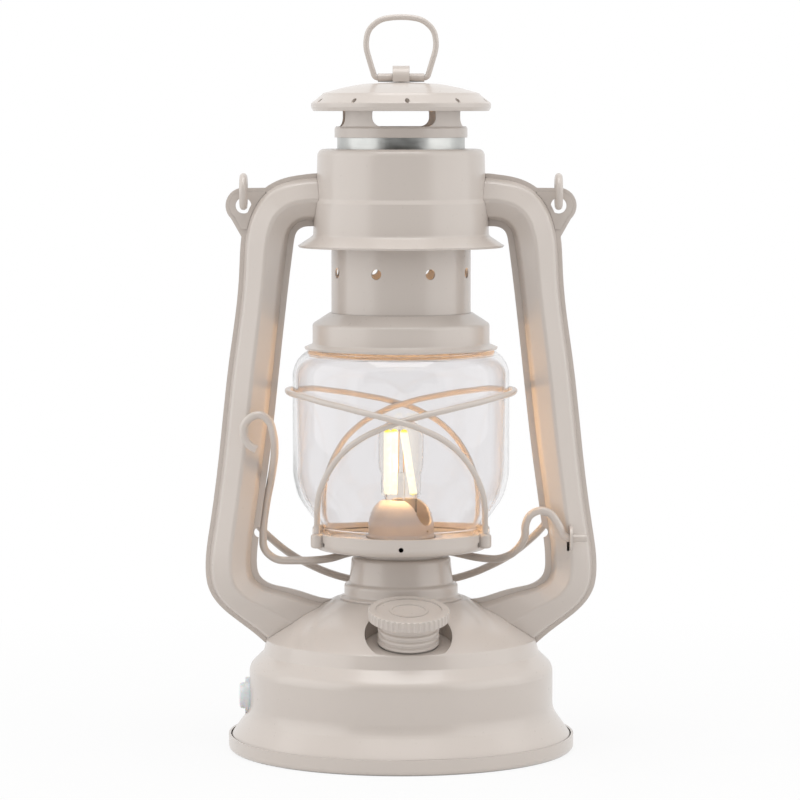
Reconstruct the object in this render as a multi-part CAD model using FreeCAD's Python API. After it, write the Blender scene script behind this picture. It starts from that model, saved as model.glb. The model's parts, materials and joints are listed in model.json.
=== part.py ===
import FreeCAD, Part
import math
import os

# Battery storm lantern: a pressed steel tank, two side tubes of stamped half shells, a hood with a
# lifting chimney, a glass globe on a lifting gallery with crossed guard wires, a globe lever, a
# carrying bail, and an LED bulb driven by rechargeable cells in the tank.
# Lengths are in millimetres. +Z is up, -Y is the front with the dimmer knob, +X is the viewer's right.
# The origin is the centre of the face that the lantern stands on.

Vec = FreeCAD.Vector
UP = Vec(0, 0, 1)
RIGHT = Vec(1, 0, 0)
BACK = Vec(0, 1, 0)
FULL_TURN = 360
HALF_TURN = 180
QUARTER_TURN = 90

# General values: sheet metal, clearances and the overrun of every cutting tool
sheet_wall = 0.8
running_gap = 0.3
cut_overrun = 2.0
same_place = 0.0001
arc_run_share = 0.45

# Base plate: pressed disc whose rim is rolled up round the tank
base_radius = 66.0
base_rim_height = 6.0
base_wall = 0.9
base_recess = 1.2
base_foot_width = 4.6
base_rim_bend = 1.9

# Tank: flared wall, rounded shoulder, small step and a low dome
tank_wall = 0.9
tank_seam_gap = 0.2
tank_wall_radius = 58.0
tank_flare_rise = 9.0
tank_wall_rise = 16.9
tank_shoulder_rise = 5.2
tank_ledge_radius = 52.6
tank_step_rise = 5.2
dome_foot_radius = 51.3
dome_rise = 15.1
dome_bulge = 1.4
dome_top_radius = 25.5
dome_mouth_radius = 19.0

# Burner cone on the dome, with its band, bead and the collar that carries the gallery
cone_curl_radius = 23.3
cone_curl_height = 0.8
cone_band_radius = 21.7
cone_band_height = 5.6
cone_foot_radius = 19.8
cone_top_radius = 18.8
cone_rise = 10.6
cone_collar_radius = 16.4
cone_collar_height = 2.7
cone_wall = 0.8

# Gallery and the globe plate inside it
gallery_radius = 33.9
gallery_height = 6.8
gallery_corner = 3.2
gallery_bore_radius = 13.4
gallery_plate_depth = 2.1
gallery_hole_radius = 0.9
gallery_hole_count = 6
plate_slot_length = 5.0
plate_slot_width = 1.6
plate_slot_reach = 16.5
plate_slot_angle = 31.0
lug_radius = 2.4
lug_height = 5.5
lug_stand = 0.3
lug_angle = 25.0

# Burner dome with the slot that the bulb shows through
burner_radius = 12.5
burner_flare = 0.5
burner_flare_height = 9.2
burner_height = 22.7
burner_crown_bend = 11.0
burner_wall = 0.7
burner_hole_gap = 0.5
burner_slot_width = 7.0
burner_slot_top_width = 10.4
burner_slot_floor = 12.9
burner_slot_turn = 36.5
burner_vent_radius = 0.8
burner_vent_drop = 2.7

# LED bulb
bulb_radius = 7.9
bulb_neck_radius = 6.2
bulb_top_above_burner = 29.9
bulb_shoulder_above_burner = 3.4
bulb_glass_wall = 0.6
socket_radius = 7.4
socket_height = 12.5
socket_floor_radius = 11.2
stem_radius = 1.3
stem_above_foot = 9.0
filament_width = 2.6
filament_length = 24.0
filament_foot_spread = 4.4
filament_left_head = 3.3
filament_right_head = 1.5
filament_foot_above_burner = 0.4
bulb_base_overlap = 4.0

# Glass globe and the holder that rests on it
globe_radius = 41.3
globe_foot_radius = 29.4
globe_wall = 1.8
globe_height = 79.8
globe_neck_radius = 32.2
holder_band_radius = 33.7
holder_band_height = 7.6
holder_shoulder_rise = 4.2
holder_flange_radius = 36.8
holder_flange_drop = 1.3
chimney_radius = 26.5
chimney_height = 41.0
chimney_hole_radius = 1.95
chimney_hole_rise = 16.2
chimney_hole_count = 8
chimney_hole_turn = 24.5

# Hood that the side tubes carry, and the zinc sleeve that slides in it
hood_skirt_radius = 39.2
hood_skirt_rise = 3.8
hood_wall_radius = 33.4
hood_rib_step = 0.8
hood_rib_rise = 17.0
hood_height = 36.6
hood_top_radius = 31.7
hood_top_corner = 2.6
hood_above_flange = 38.6
sleeve_radius = 24.2
sleeve_stand = 4.3
sleeve_socket = 2.8
hood_guide_gap = 0.5
hood_hole_radius = 0.8
hood_hole_count = 26
hood_hole_reach = 27.4

# Cap on its four-legged spider
spider_radius = 24.7
spider_ring_radius = 25.2
spider_ring_height = 4.2
spider_leg_count = 4
spider_leg_angle = 32.5
spider_turn = 3.0
spider_window_height = 8.2
spider_window_corner = 3.4
cap_radius = 34.1
cap_rim_height = 10.0
cap_rise = 11.0
cap_crown_radius = 29.6
cap_hole_radius = 0.85
cap_hole_count = 10
cap_hole_turn = 4.0

# Hinge of the top ring
hinge_sleeve_radius = 1.6
hinge_sleeve_bore = 1.2
hinge_sleeve_length = 17.6
hinge_strap_width = 6.4
hinge_strap_radius = 4.5
top_ring_wire = 2.3
top_ring_half_width = 13.5
top_ring_height = 22.8

# Side tubes, each made of two stamped half shells with seam flanges
frame_half_width = 74.7
tube_top_above_flange = 65.7
tube_depth = 9.5
tube_side_depth = 6.0
tube_side_slope = 1.3
tube_ridge_bend = 1.8
tube_side_bend = 1.8
tube_wall = 0.7
tube_outer_flange = 1.7
tube_inner_flange = 2.4
notch_radius = 2.0
notch_height_above_gallery = 6.0

# Ears that the bail hangs in
ear_hole_radius = 3.0
ear_lobe_radius = 6.8
ear_reach_share = 0.8005
ear_below_tube_top = 12.0
ear_blend_length = 12.0

# Bail
bail_wire = 2.9
bail_eye_radius = 5.6
bail_eye_sag = 0.3
bail_eye_opening = 35.0
bail_spread = 3.2
bail_rest_gap = 0.4
bail_rest_reach = 28.0

# Globe lever and its lug on the right tube
lever_wire = 3.0
lever_lug_thickness = 1.1
lever_lug_radius = 4.7
lever_slit_width = 0.8
lever_slit_drop = 2.8
lever_pivot_share = 0.862
lever_pivot_above_gallery = 5.0
lever_pivot_gap = 0.6
lever_bore_gap = 0.25
lever_below_gallery = 5.2
lever_loop_gap = 1.6

# Guard wires
guard_wire = 2.3
guard_gap = 0.6
guard_rise = 53.6
guard_step = 14.0
guard_foot_rise = 3.2

# Dimmer knob, made to look like a tank cap, on its threaded neck
knob_radius = 15.2
knob_thickness = 3.9
knob_flute_count = 44
knob_flute_depth = 0.45
knob_well_radius = 12.4
knob_well_depth = 0.6
knob_ring_radius = 7.2
knob_ring_width = 0.9
knob_ring_height = 0.3
neck_radius = 11.45
neck_core_radius = 10.7
neck_height = 9.5
neck_rib_count = 4
neck_tail = 4.0
neck_bore_radius = 4.2
pocket_radius = 16.3
knob_front_gap = 1.1
knob_tilt = 12.5
knob_turn = 4.0
dimmer_shaft_radius = 3.0
dimmer_shaft_gap = 0.06
dimmer_body_radius = 8.0
dimmer_body_height = 7.0

# Charge port
port_height = 20.0
port_width = 8.9
port_thickness = 3.2
port_depth = 7.4
port_shell_wall = 0.4
grommet_radius = 7.0
grommet_bore_radius = 5.3
grommet_lip = 1.6
plug_head_radius = 4.85
plug_head_thickness = 2.2
plug_stem_length = 5.0
plug_stem_gap = 0.25

# Inside the tank
cradle_radius = 52.0
cradle_thickness = 1.8
cradle_wall = 1.8
cell_radius = 9.2
cell_length = 65.0
cell_gap = 0.25
cell_spacing = 20.6
cell_offset = 17.0
board_length = 44.0
board_width = 34.0
board_thickness = 1.6
board_post_radius = 2.4
screw_radius = 1.3
screw_head_radius = 2.5
screw_head_height = 0.8
screw_length = 8.0
screw_circle_radius = 44.0
screw_count = 4

# Places that follow from the sizes above
tank_foot = base_wall + tank_seam_gap
tank_flare_top = tank_foot + base_rim_height - base_wall + tank_flare_rise
tank_shoulder = tank_flare_top + tank_wall_rise
tank_ledge = tank_shoulder + tank_shoulder_rise
dome_foot = tank_ledge + tank_step_rise
dome_top = dome_foot + dome_rise
cone_top = dome_top + cone_band_height + cone_rise
collar_top = cone_top + cone_collar_height
gallery_floor = collar_top + running_gap
gallery_rim = gallery_floor + gallery_height
globe_seat = gallery_rim - gallery_plate_depth
globe_foot = globe_seat + running_gap
globe_top = globe_foot + globe_height
holder_roof = globe_top + running_gap + sheet_wall
holder_flange = holder_roof - holder_band_height - holder_flange_drop
chimney_foot = holder_roof + holder_shoulder_rise - sheet_wall
chimney_top = chimney_foot + chimney_height - sheet_wall
hood_foot = holder_flange + hood_above_flange
hood_top = hood_foot + hood_height
spider_foot = hood_top + sleeve_stand
cap_rim = spider_foot + cap_rim_height
cap_top = cap_rim + cap_rise
hinge_height = cap_top + hinge_sleeve_radius
tube_top = holder_flange + tube_top_above_flange
burner_foot = cone_top
burner_top = burner_foot + burner_height
knob_reach = dome_foot_radius - neck_radius - knob_front_gap
lug_top = gallery_rim + lug_stand
lug_low = lug_top - lug_height
ear_height = tube_top - ear_below_tube_top
ear_reach = frame_half_width * ear_reach_share
bail_axis = ear_height + bail_eye_radius - bail_eye_sag
lever_axis_height = gallery_floor + lever_pivot_above_gallery
lever_axis_reach = frame_half_width * lever_pivot_share
lever_axis_front = tube_depth + lever_wire / 2 + lever_pivot_gap
lever_level = gallery_floor - lever_below_gallery


def place(reach, height):
    """A point of a profile in the XZ plane."""
    return Vec(reach, 0, height)


def direction(angle):
    """A level unit direction, turned from the right towards the back."""
    return Vec(math.cos(math.radians(angle)), math.sin(math.radians(angle)), 0)


def unit(vector):
    return vector * (1 / vector.Length)


def half_corner(before, corner, after):
    """Half the angle between the two runs that meet at a corner."""
    return (before - corner).getAngle(after - corner) / 2


def rounded_edges(points, radii, closed):
    """Straight runs joined by tangent arcs. Each arc is limited by its two runs."""
    count = len(points)
    starts = []
    middles = []
    ends = []
    for index, corner in enumerate(points):
        inner = closed or 0 < index < count - 1
        if not inner or radii[index] == 0:
            starts.append(corner)
            middles.append(None)
            ends.append(corner)
            continue
        before = points[index - 1]
        after = points[(index + 1) % count]
        half = half_corner(before, corner, after)
        run = min((before - corner).Length, (after - corner).Length)
        setback = min(radii[index] / math.tan(half), arc_run_share * run)
        radius = setback * math.tan(half)
        back = unit(before - corner)
        ahead = unit(after - corner)
        starts.append(corner + back * setback)
        middles.append(corner + unit(back + ahead) * (radius / math.sin(half) - radius))
        ends.append(corner + ahead * setback)
    edges = []
    for index in range(count):
        if middles[index] is not None:
            edges.append(Part.Arc(starts[index], middles[index], ends[index]).toShape())
        if index == count - 1 and not closed:
            break
        following = starts[(index + 1) % count]
        if ends[index].distanceToPoint(following) > same_place:
            edges.append(Part.LineSegment(ends[index], following).toShape())
    return edges


def flat_face(points, radii):
    """A closed outline with rounded corners as a face."""
    return Part.Face(Part.Wire(rounded_edges(points, radii, True)))


def spin(face):
    """A solid of revolution about the lantern's axis."""
    return face.revolve(Vec(0, 0, 0), UP, FULL_TURN)


def inset(points, depth):
    """The same open path in the XZ plane, moved to the left of its walking direction."""
    moved = []
    last = len(points) - 1
    for index, point in enumerate(points):
        first_run = points[max(index, 1)] - points[max(index, 1) - 1]
        second_run = points[min(index, last - 1) + 1] - points[min(index, last - 1)]
        first_side = unit(Vec(-first_run.z, 0, first_run.x))
        second_side = unit(Vec(-second_run.z, 0, second_run.x))
        if point.x == 0:
            moved.append(point + UP * (depth / first_side.z))
            continue
        spread = 1 + first_side.dot(second_side)
        moved.append(point + (first_side + second_side) * (depth / spread))
    return moved


def turn_side(points, index):
    """Positive where the path turns to its left at a point."""
    first = points[index] - points[index - 1]
    second = points[index + 1] - points[index]
    return first.x * second.z - first.z * second.x


def sheet(points, radii, wall):
    """A pressed sheet turned about the axis: its outer skin walks the points, wall to the left."""
    inner = inset(points, wall)
    inner_radii = []
    for index, radius in enumerate(radii):
        if radius == 0:
            inner_radii.append(0)
        elif turn_side(points, index) > 0:
            inner_radii.append(max(radius - wall, wall / 4))
        else:
            inner_radii.append(radius + wall)
    outline = points + inner[::-1]
    return spin(flat_face(outline, list(radii) + inner_radii[::-1]))


def tube_between(low, high, radius):
    """A round bar from one point to another."""
    run = high - low
    return Part.makeCylinder(radius, run.Length, low, run)


def ring(outer, inner, low, height):
    """A plain washer about the lantern's axis."""
    body = Part.makeCylinder(outer, height, Vec(0, 0, low))
    return body.cut(Part.makeCylinder(inner, height + 2 * cut_overrun, Vec(0, 0, low - cut_overrun)))


def wire_along(points, thickness, closed=False):
    """A round wire bent along a route, with each bend as wide as its runs allow."""
    count = len(points)
    radii = []
    for index, corner in enumerate(points):
        if not closed and index in (0, count - 1):
            radii.append(0)
            continue
        before = points[index - 1]
        after = points[(index + 1) % count]
        run = min((before - corner).Length, (after - corner).Length)
        radii.append(arc_run_share * run * math.tan(half_corner(before, corner, after)))
    path = Part.Wire(rounded_edges(points, radii, closed))
    first = path.Edges[0]
    start = first.valueAt(first.FirstParameter)
    heading = first.tangentAt(first.FirstParameter)
    section = Part.Wire([Part.makeCircle(thickness / 2, start, heading)])
    return path.makePipeShell([section], True, False)


def mirrored(shape):
    """The same piece on the other side of the lantern."""
    return shape.mirror(Vec(0, 0, 0), RIGHT)


def base_plate():
    foot_inner = base_radius - base_foot_width
    points = [place(0, base_recess), place(foot_inner - base_recess, base_recess), place(foot_inner, 0),
              place(base_radius, 0), place(base_radius, base_rim_height)]
    return sheet(points, [0, base_recess / 2, base_recess / 2, base_rim_bend, 0], base_wall)


def tank_skin():
    """The tank's outer skin from its crimped edge to the mouth under the burner cone."""
    edge = base_radius - base_wall - tank_seam_gap
    seam = base_rim_height - base_wall / 2
    mid_reach = (dome_foot_radius + dome_top_radius) / 2
    mid_height = (dome_foot + dome_top) / 2
    return [place(edge, tank_foot + base_wall), place(edge, seam), place(tank_wall_radius, tank_flare_top),
            place(tank_wall_radius, tank_shoulder), place(tank_ledge_radius, tank_ledge),
            place(dome_foot_radius, dome_foot),
            place(mid_reach + dome_bulge / 2, mid_height + dome_bulge),
            place(dome_top_radius, dome_top), place(dome_mouth_radius, dome_top)]


def tank_bends():
    flare = tank_flare_rise
    shoulder = tank_shoulder_rise
    return [0, flare / 4, flare, shoulder, tank_wall, tank_wall, dome_foot_radius, tank_wall, 0]


def tank_envelope():
    """The space inside the tank's outer skin, filled."""
    points = tank_skin()
    closed = points + [place(0, dome_top), place(0, points[0].z)]
    return spin(flat_face(closed, tank_bends() + [0, 0]))


def tank_shell():
    """Pressed shell with the port's hole, and a round pocket in the dome for the knob's neck."""
    shell = sheet(tank_skin(), tank_bends(), tank_wall)
    room = knob_frame(Part.makeCylinder(pocket_radius, dome_rise))
    pan = knob_frame(Part.makeCylinder(pocket_radius + tank_wall, dome_rise + tank_wall,
                                       Vec(0, 0, -tank_wall))).common(tank_envelope())
    tail = knob_frame(Part.makeCylinder(neck_core_radius + plug_stem_gap, 2 * neck_tail,
                                        Vec(0, 0, -neck_tail)))
    shell = shell.fuse(pan).cut(room.fuse(tail))
    return shell.cut(port_bore(grommet_bore_radius + sheet_wall))


def knob_frame(shape):
    """Moves a piece built about +Z at the origin to the tilted floor of the pocket in the dome."""
    moved = shape.copy()
    moved.rotate(Vec(0, 0, 0), RIGHT, knob_tilt)
    moved.translate(Vec(0, -knob_reach, dome_foot + knob_rise()))
    moved.rotate(Vec(0, 0, 0), UP, knob_turn)
    return moved


def knob_rise():
    """Rise of the pocket's floor from the dome's foot to the knob's axis."""
    return (dome_foot_radius - knob_reach) * math.tan(math.radians(knob_tilt))


def dimmer_neck():
    """Fixed threaded neck with raised ribs."""
    pitch = neck_height / neck_rib_count
    groove = neck_radius - neck_core_radius
    points = [Vec(neck_bore_radius, 0, -neck_tail), Vec(neck_core_radius, 0, -neck_tail)]
    for index in range(neck_rib_count):
        low = index * pitch
        points.append(Vec(neck_core_radius, 0, low + pitch / 8))
        points.append(Vec(neck_radius, 0, low + groove))
        points.append(Vec(neck_radius, 0, low + pitch - groove))
        points.append(Vec(neck_core_radius, 0, low + pitch - pitch / 8))
    points.append(Vec(neck_core_radius, 0, neck_height))
    points.append(Vec(neck_bore_radius, 0, neck_height))
    return knob_frame(spin(flat_face(points, [0] * len(points))))


def dimmer_knob():
    """Fluted disc with a raised rim and a shallow ring in its well, on the dimmer's shaft."""
    low = neck_height + running_gap
    top = low + knob_thickness
    disc = Part.makeCylinder(knob_radius, knob_thickness, Vec(0, 0, low))
    disc = disc.makeFillet(knob_thickness / 6, disc.Edges[0:1] + disc.Edges[2:3])
    floor = top - knob_well_depth
    disc = disc.cut(Part.makeCylinder(knob_well_radius, knob_well_depth, Vec(0, 0, floor)))
    disc = disc.fuse(ring(knob_ring_radius, knob_ring_radius - knob_ring_width, floor - knob_ring_height,
                          2 * knob_ring_height))
    flutes = []
    for index in range(knob_flute_count):
        spot = direction(index * FULL_TURN / knob_flute_count) * (knob_radius + knob_flute_depth)
        flutes.append(Part.makeCylinder(2 * knob_flute_depth, knob_thickness + 2 * cut_overrun,
                                        spot + UP * (low - cut_overrun)))
    disc = disc.cut(Part.makeCompound(flutes))
    socket = Part.makeCylinder(dimmer_shaft_radius, knob_thickness / 2 + cut_overrun,
                               Vec(0, 0, low - cut_overrun))
    return knob_frame(disc.cut(socket))


def dimmer_shaft():
    """Shaft that turns with the knob, down to the dimmer's body."""
    low = neck_height + running_gap
    shaft = Part.makeCylinder(dimmer_shaft_radius, low + knob_thickness / 2 + neck_tail,
                              Vec(0, 0, -neck_tail))
    return knob_frame(shaft)


def dimmer_body():
    """Rotary dimmer under the dome, with its threaded bush in the neck."""
    low = -neck_tail - dimmer_body_height
    body = Part.makeCylinder(dimmer_body_radius, dimmer_body_height - running_gap, Vec(0, 0, low))
    bush = Part.makeCylinder(neck_bore_radius, neck_tail + neck_height / 2,
                             Vec(0, 0, -neck_tail - running_gap))
    bore = Part.makeCylinder(dimmer_shaft_radius + dimmer_shaft_gap, neck_height + 2 * neck_tail,
                             Vec(0, 0, -neck_tail - running_gap))
    return knob_frame(body.fuse(bush).cut(bore))


def port_bore(radius):
    """A round bar through the tank's wall at the charge port."""
    return tube_between(Vec(-tank_wall_radius - grommet_lip - cut_overrun, 0, port_height),
                        Vec(-tank_wall_radius + port_depth + cut_overrun, 0, port_height), radius)


def port_grommet():
    """Moulded ring in the tank's wall, lipped on the outside."""
    outside = -tank_wall_radius - grommet_lip
    lip = tube_between(Vec(outside, 0, port_height), Vec(-tank_wall_radius + tank_wall, 0, port_height),
                       grommet_radius)
    lip = lip.cut(tank_envelope())
    collar = tube_between(Vec(outside + grommet_lip / 2, 0, port_height),
                          Vec(-tank_wall_radius + 3 * tank_wall, 0, port_height),
                          grommet_bore_radius + sheet_wall)
    return lip.fuse(collar).cut(port_bore(grommet_bore_radius))


def port_plug():
    """Soft plug with a round pull head and a stem in the port."""
    outside = -tank_wall_radius - grommet_lip
    head = tube_between(Vec(outside - plug_head_thickness, 0, port_height), Vec(outside, 0, port_height),
                        plug_head_radius)
    head = head.makeFillet(plug_head_thickness / 3, head.Edges)
    stem = tube_between(Vec(outside - plug_head_thickness / 2, 0, port_height),
                        Vec(outside + plug_stem_length, 0, port_height),
                        grommet_bore_radius - plug_stem_gap)
    return head.fuse(stem)


def usb_socket():
    """Charge socket on the edge of the board, its mouth to the plug."""
    mouth = -tank_wall_radius - grommet_lip + plug_stem_length + running_gap
    bend = port_thickness / 2 - port_shell_wall
    outer = Part.makeBox(port_depth, port_width, port_thickness,
                         Vec(mouth, -port_width / 2, port_height - port_thickness / 2))
    outer = outer.makeFillet(bend, [edge for edge in outer.Edges if abs(edge.tangentAt(0).x) > 1 / 2])
    hollow = Part.makeBox(port_depth - port_shell_wall, port_width - 2 * port_shell_wall,
                          port_thickness - 2 * port_shell_wall,
                          Vec(mouth - port_shell_wall, port_shell_wall - port_width / 2,
                              port_height - port_thickness / 2 + port_shell_wall))
    tongue = Part.makeBox(port_depth - port_shell_wall, port_width - 4 * port_thickness / 3,
                          port_shell_wall,
                          Vec(mouth + port_shell_wall, 2 * port_thickness / 3 - port_width / 2,
                              port_height - port_shell_wall / 2))
    return outer.cut(hollow).fuse(tongue)


def board_low():
    return port_height - port_thickness / 2 - board_thickness


def board_start():
    return -tank_wall_radius - grommet_lip + plug_stem_length + running_gap + port_shell_wall


def board_corners():
    inset_length = 2 * board_post_radius
    xs = [board_start() + inset_length, board_start() + board_length - inset_length]
    ys = [inset_length - board_width / 2, board_width / 2 - inset_length]
    return [Vec(x, y, 0) for x in xs for y in ys]


def circuit_board():
    """Charging and dimming board on four posts."""
    return Part.makeBox(board_length, board_width, board_thickness,
                        Vec(board_start(), -board_width / 2, board_low()))


def cradle_floor():
    return base_recess + base_wall


def cell_places():
    return [cell_offset - cell_spacing / 2, cell_offset + cell_spacing / 2]


def battery_cradle():
    """Moulded tray on the base plate that holds the cells, the board's posts and the screws."""
    low = cradle_floor()
    tray = Part.makeCylinder(cradle_radius, cradle_thickness, Vec(0, 0, low))
    wall_height = cell_radius
    middle = low + cradle_thickness
    length = cell_length + 2 * cradle_wall + 2 * cell_gap
    outer = Part.makeBox(cell_spacing * 2 + 2 * cradle_wall, length, wall_height,
                         Vec(cell_offset - cell_spacing - cradle_wall, -length / 2, middle))
    inner = Part.makeBox(cell_spacing * 2, cell_length + 2 * cell_gap, wall_height + cut_overrun,
                         Vec(cell_offset - cell_spacing, -cell_length / 2 - cell_gap, middle))
    tray = tray.fuse(outer.cut(inner))
    for corner in board_corners():
        tray = tray.fuse(Part.makeCylinder(board_post_radius, board_low() - middle, corner + UP * middle))
    for index in range(screw_count):
        spot = screw_spot(index)
        boss = Part.makeCylinder(2 * screw_radius, screw_length, spot + UP * low)
        tray = tray.fuse(boss)
        tray = tray.cut(Part.makeCylinder(screw_radius, screw_length, spot + UP * low))
    return tray


def screw_spot(index):
    return direction(FULL_TURN / screw_count * index) * screw_circle_radius


def battery_cells():
    """Two rechargeable cells side by side."""
    cells = []
    axis_height = cradle_floor() + cradle_thickness + cell_radius
    for reach in cell_places():
        start = Vec(reach, -cell_length / 2, axis_height)
        cells.append(tube_between(start, start + BACK * cell_length, cell_radius))
    return Part.makeCompound(cells)


def base_screws():
    """Screws up through the base plate into the cradle."""
    screws = []
    for index in range(screw_count):
        spot = screw_spot(index)
        shank = Part.makeCylinder(screw_radius, screw_length - running_gap,
                                  spot + UP * (base_recess - screw_head_height / 2))
        head = Part.makeCylinder(screw_head_radius, screw_head_height,
                                 spot + UP * (base_recess - screw_head_height))
        screws.append(shank.fuse(head))
    return Part.makeCompound(screws)


def drilled_base_plate():
    plate = base_plate()
    for index in range(screw_count):
        low = screw_spot(index) + UP * (base_recess - cut_overrun)
        plate = plate.cut(Part.makeCylinder(screw_radius, 2 * cut_overrun, low))
    return plate


def burner_cone():
    """Stepped collar on the dome with a curled foot, and the seat that carries the gallery."""
    band_top = dome_top + cone_band_height
    points = [place(cone_curl_radius, dome_top), place(cone_curl_radius, dome_top + cone_curl_height),
              place(cone_band_radius, dome_top + 2 * cone_curl_height), place(cone_band_radius, band_top),
              place(cone_foot_radius, band_top + cone_curl_height), place(cone_top_radius, cone_top),
              place(burner_radius - cone_wall, cone_top)]
    bends = [0, cone_wall / 2, cone_wall, 2 * cone_wall, cone_wall, 2 * cone_wall, 0]
    collar = ring(cone_collar_radius, cone_collar_radius - 2 * cone_wall, cone_top, cone_collar_height)
    return sheet(points, bends, cone_wall).fuse(collar)


def gallery():
    """Shallow pan that carries the globe, with vent holes in its rim and lugs for the guard wires."""
    points = [place(gallery_bore_radius, gallery_floor), place(gallery_radius, gallery_floor),
              place(gallery_radius, gallery_rim)]
    pan = sheet(points, [0, gallery_corner, 0], sheet_wall)
    height = gallery_rim - gallery_plate_depth - sheet_wall - gallery_hole_radius
    for index in range(gallery_hole_count):
        way = direction(FULL_TURN / gallery_hole_count * index - QUARTER_TURN)
        pan = pan.cut(tube_between(way * (gallery_radius - cut_overrun) + UP * height,
                                   way * (gallery_radius + cut_overrun) + UP * height,
                                   gallery_hole_radius))
    for angle in four_angles(lug_angle):
        pan = pan.fuse(guard_lug(angle))
    return pan


def four_angles(angle):
    """The same turn from the right and left side, to the back and to the front."""
    return [angle, HALF_TURN - angle, HALF_TURN + angle, -angle]


def guard_lug(angle):
    """Round-ended barrel outside the gallery's rim that a guard wire's foot is pressed into."""
    spot = direction(angle) * lug_reach()
    barrel = Part.makeCylinder(lug_radius, lug_height, spot + UP * lug_low)
    barrel = barrel.makeFillet(lug_radius / 2, barrel.Edges[0:1] + barrel.Edges[2:3])
    inside = Part.makeCylinder(gallery_radius - sheet_wall / 2, lug_height + 2 * cut_overrun,
                               Vec(0, 0, lug_low - cut_overrun))
    bore = Part.makeCylinder(guard_wire / 2, lug_height, spot + UP * (lug_low + sheet_wall))
    return barrel.cut(inside).cut(bore)


def lug_reach():
    return gallery_radius + guard_wire / 2


def globe_plate():
    """Inner floor of the gallery, on which the globe stands."""
    points = [place(gallery_bore_radius, gallery_floor + sheet_wall),
              place(gallery_bore_radius, globe_seat), place(gallery_radius - sheet_wall, globe_seat),
              place(gallery_radius - sheet_wall, globe_seat - sheet_wall),
              place(gallery_bore_radius + sheet_wall, globe_seat - sheet_wall),
              place(gallery_bore_radius + sheet_wall, gallery_floor + sheet_wall)]
    plate = spin(flat_face(points, [0] * len(points)))
    for angle in four_angles(plate_slot_angle):
        slot = Part.makeBox(plate_slot_width, plate_slot_length, 2 * cut_overrun,
                            Vec(plate_slot_reach, -plate_slot_length / 2, globe_seat - cut_overrun))
        slot.rotate(Vec(0, 0, 0), UP, angle)
        plate = plate.cut(slot)
    return plate


def burner_dome():
    """Round-topped cap over the bulb's socket, with the bulb's hole and a slot down both sides."""
    foot = burner_radius + burner_flare
    flare_top = burner_foot + burner_flare_height
    points = [place(foot, burner_foot), place(foot, flare_top - 2 * burner_flare),
              place(burner_radius, flare_top)]
    points += crown_points()
    points.append(place(0, burner_top))
    bends = [0, burner_wall, burner_wall] + [burner_crown_bend] * (len(points) - 4) + [0]
    dome = sheet(points, bends, burner_wall)
    slot_floor = UP * (burner_foot + burner_slot_floor)
    hole = Part.makeCylinder(bulb_neck_radius + burner_hole_gap, burner_height, slot_floor)
    centre = slot_floor - UP * burner_vent_drop
    outside = centre + direction(-burner_slot_turn) * (burner_radius + cut_overrun)
    return dome.cut(hole).cut(burner_slot()).cut(tube_between(centre, outside, burner_vent_radius))


def crown_points():
    """Corners that an arc from the burner dome's wall to its top is drawn in."""
    step = QUARTER_TURN / 3
    reach = burner_crown_bend / math.cos(math.radians(step / 2))
    corners = []
    for index in range(3):
        angle = math.radians(step * (index + 1 / 2))
        corners.append(place(burner_radius - burner_crown_bend + reach * math.cos(angle),
                             burner_top - burner_crown_bend + reach * math.sin(angle)))
    return corners


def burner_slot():
    """Slot right across the burner dome, wider at its top and round at its floor."""
    low = burner_foot + burner_slot_floor
    high = burner_top + cut_overrun
    half = burner_slot_width / 2
    top_half = burner_slot_top_width / 2
    outline = [Vec(0, -half, low), Vec(0, half, low), Vec(0, top_half, high), Vec(0, -top_half, high)]
    slot = flat_face(outline, [half, half, 0, 0]).extrude(RIGHT * (4 * burner_radius))
    slot.translate(RIGHT * (-2 * burner_radius))
    slot.rotate(Vec(0, 0, 0), UP, -burner_slot_turn)
    return slot


def bulb_foot():
    return burner_foot + socket_height - bulb_base_overlap


def led_bulb():
    """Clear glass envelope with a straight neck and a domed top."""
    shoulder = burner_top + bulb_shoulder_above_burner
    top = burner_top + bulb_top_above_burner
    points = [place(bulb_neck_radius, bulb_foot()), place(bulb_neck_radius, burner_top - bulb_glass_wall),
              place(bulb_radius, shoulder), place(bulb_radius, top), place(0, top)]
    return sheet(points, [0, bulb_glass_wall, bulb_radius / 2, bulb_radius, 0], bulb_glass_wall)


def bulb_socket():
    """Lamp socket standing on the cone's top inside the burner dome."""
    flange = Part.makeCylinder(socket_floor_radius, cone_wall, Vec(0, 0, cone_top))
    body = Part.makeCylinder(socket_radius, socket_height, Vec(0, 0, cone_top))
    well = Part.makeCylinder(bulb_neck_radius, bulb_base_overlap, Vec(0, 0, bulb_foot()))
    return flange.fuse(body).cut(well)


def bulb_stem():
    """Glass stem up the middle, which carries the filaments' support wires."""
    low = bulb_foot()
    return Part.makeCylinder(stem_radius, filament_foot() + stem_above_foot - low, Vec(0, 0, low))


def filament_foot():
    return burner_top + filament_foot_above_burner


def led_filaments():
    """Two straight LED filaments that lean together at the top."""
    bars = []
    for side, head in ((-1, filament_left_head), (1, filament_right_head)):
        low = Vec(side * filament_foot_spread, 0, filament_foot())
        high = Vec(side * head, 0, filament_foot() + filament_length)
        bars.append(tube_between(low, high, filament_width / 2))
    return Part.makeCompound(bars)


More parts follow.
